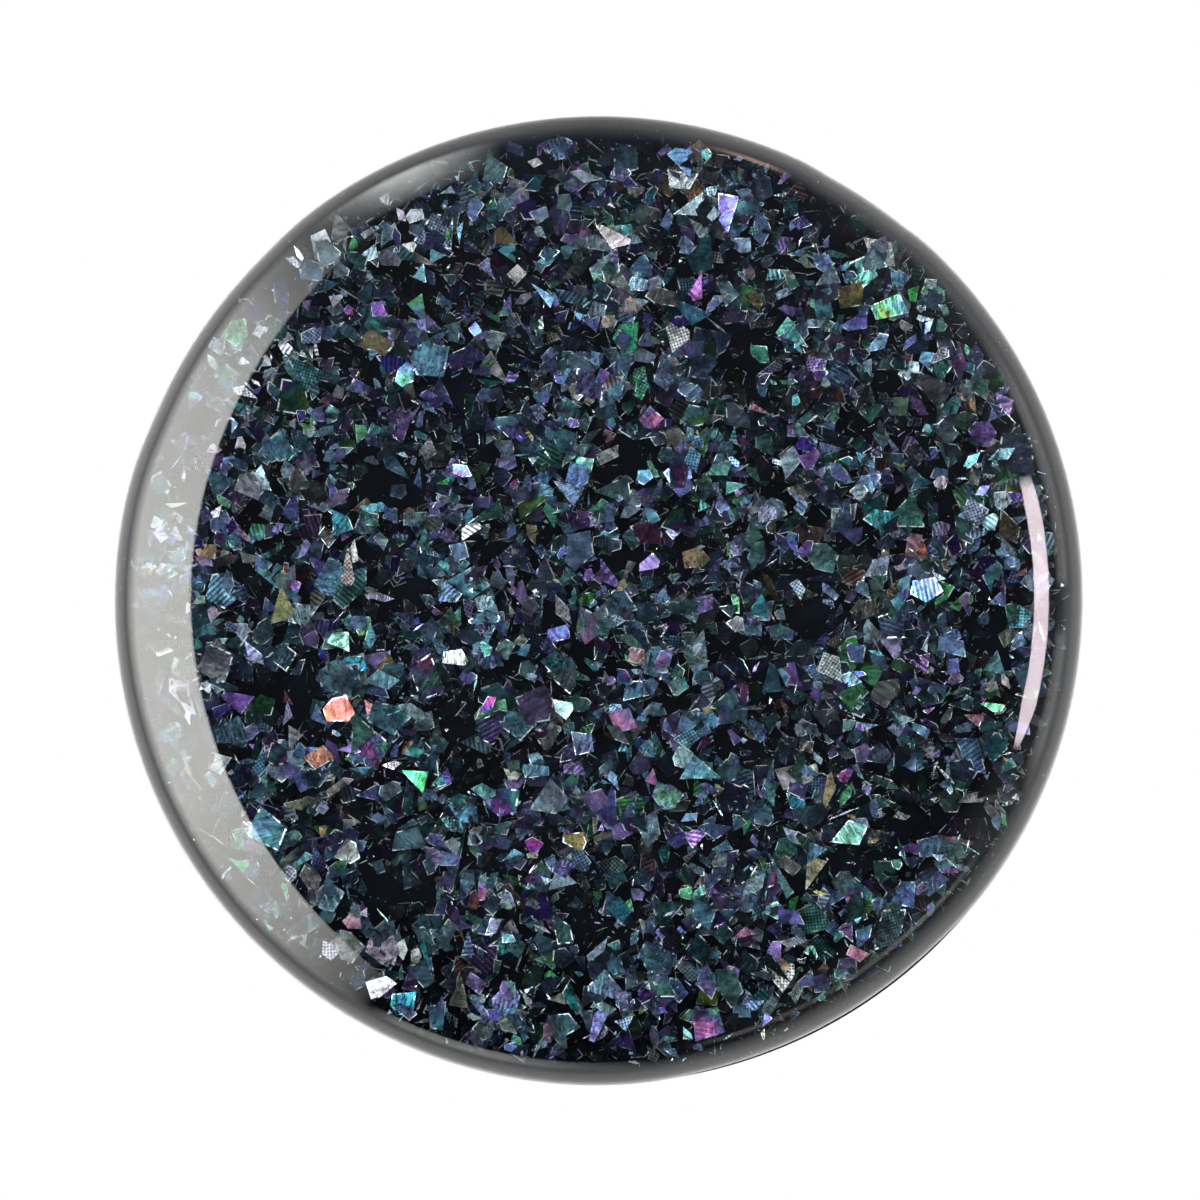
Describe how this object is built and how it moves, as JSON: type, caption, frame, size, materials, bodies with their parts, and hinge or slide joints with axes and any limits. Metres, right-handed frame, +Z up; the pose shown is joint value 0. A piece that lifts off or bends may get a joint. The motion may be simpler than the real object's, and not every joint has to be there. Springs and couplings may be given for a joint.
{
  "type": "pin badge",
  "caption": "Round pin badge with opal flakes cast in a clear domed resin face on a black metal plate, held through cloth by needle posts and ball-lock clutches.",
  "frame": {"origin": "centre of the plate's back face, where the pin meets the cloth", "axes": "+Y out of the back along the posts, so the domed face looks along -Y; +Z up as the pin is worn; +X to the right as the face is seen"},
  "size_m": [0.038, 0.0134, 0.038],
  "materials": {
    "clear_resin": "clear, polished",
    "opal_flakes": "iridescent film flakes in clear resin",
    "black_enamel": "gloss",
    "black_nickel": "black nickel plate",
    "bright_steel": "bright drawn",
    "nickel_plate": "polished nickel plate"
  },
  "bodies": {
    "pin": {"back_plate": "black_nickel", "black_enamel": "black_enamel", "flake_bed": "opal_flakes", "clear_dome": "clear_resin", "left_post": "bright_steel", "right_post": "bright_steel"},
    "left_clutch": {"left_clutch_body": "nickel_plate", "left_clutch_lid": "bright_steel"},
    "left_cap": {"left_pull_cap": "nickel_plate", "left_ball_cage": "bright_steel", "left_clutch_spring": "bright_steel"},
    "left_lock_ball_1": {"left_lock_ball_1": "bright_steel"},
    "left_lock_ball_2": {"left_lock_ball_2": "bright_steel"},
    "left_lock_ball_3": {"left_lock_ball_3": "bright_steel"},
    "right_clutch": {"right_clutch_body": "nickel_plate", "right_clutch_lid": "bright_steel"},
    "right_cap": {"right_pull_cap": "nickel_plate", "right_ball_cage": "bright_steel", "right_clutch_spring": "bright_steel"},
    "right_lock_ball_1": {"right_lock_ball_1": "bright_steel"},
    "right_lock_ball_2": {"right_lock_ball_2": "bright_steel"},
    "right_lock_ball_3": {"right_lock_ball_3": "bright_steel"}
  },
  "joints": [
    {"name": "left_clutch_slide", "type": "slide", "parent": "pin", "child": "left_clutch", "axis": [0, 1, 0], "range_m": [0, 0.0076]},
    {"name": "left_cap_pull", "type": "slide", "parent": "left_clutch", "child": "left_cap", "axis": [0, 1, 0], "range_m": [0, 0.0008], "stiffness_N_per_m": 200, "springref_m": -0.0005, "deforming": ["left_clutch_spring"]},
    {"name": "left_lock_ball_1_retract", "type": "slide", "parent": "left_cap", "child": "left_lock_ball_1", "axis": [0, 0, -1], "range_m": [0, 0.00018]},
    {"name": "left_lock_ball_2_retract", "type": "slide", "parent": "left_cap", "child": "left_lock_ball_2", "axis": [-0.866, 0, 0.5], "range_m": [0, 0.00018]},
    {"name": "left_lock_ball_3_retract", "type": "slide", "parent": "left_cap", "child": "left_lock_ball_3", "axis": [0.866, 0, 0.5], "range_m": [0, 0.00018]},
    {"name": "right_clutch_slide", "type": "slide", "parent": "pin", "child": "right_clutch", "axis": [0, 1, 0], "range_m": [0, 0.0076]},
    {"name": "right_cap_pull", "type": "slide", "parent": "right_clutch", "child": "right_cap", "axis": [0, 1, 0], "range_m": [0, 0.0008], "stiffness_N_per_m": 200, "springref_m": -0.0005, "deforming": ["right_clutch_spring"]},
    {"name": "right_lock_ball_1_retract", "type": "slide", "parent": "right_cap", "child": "right_lock_ball_1", "axis": [0, 0, -1], "range_m": [0, 0.00018]},
    {"name": "right_lock_ball_2_retract", "type": "slide", "parent": "right_cap", "child": "right_lock_ball_2", "axis": [-0.866, 0, 0.5], "range_m": [0, 0.00018]},
    {"name": "right_lock_ball_3_retract", "type": "slide", "parent": "right_cap", "child": "right_lock_ball_3", "axis": [0.866, 0, 0.5], "range_m": [0, 0.00018]}
  ],
  "couplings": [
    {"joint": "left_lock_ball_1_retract", "follows": "left_cap_pull", "ratio": 0.21256},
    {"joint": "left_lock_ball_2_retract", "follows": "left_cap_pull", "ratio": 0.21256},
    {"joint": "left_lock_ball_3_retract", "follows": "left_cap_pull", "ratio": 0.21256},
    {"joint": "right_lock_ball_1_retract", "follows": "right_cap_pull", "ratio": 0.21256},
    {"joint": "right_lock_ball_2_retract", "follows": "right_cap_pull", "ratio": 0.21256},
    {"joint": "right_lock_ball_3_retract", "follows": "right_cap_pull", "ratio": 0.21256}
  ]
}
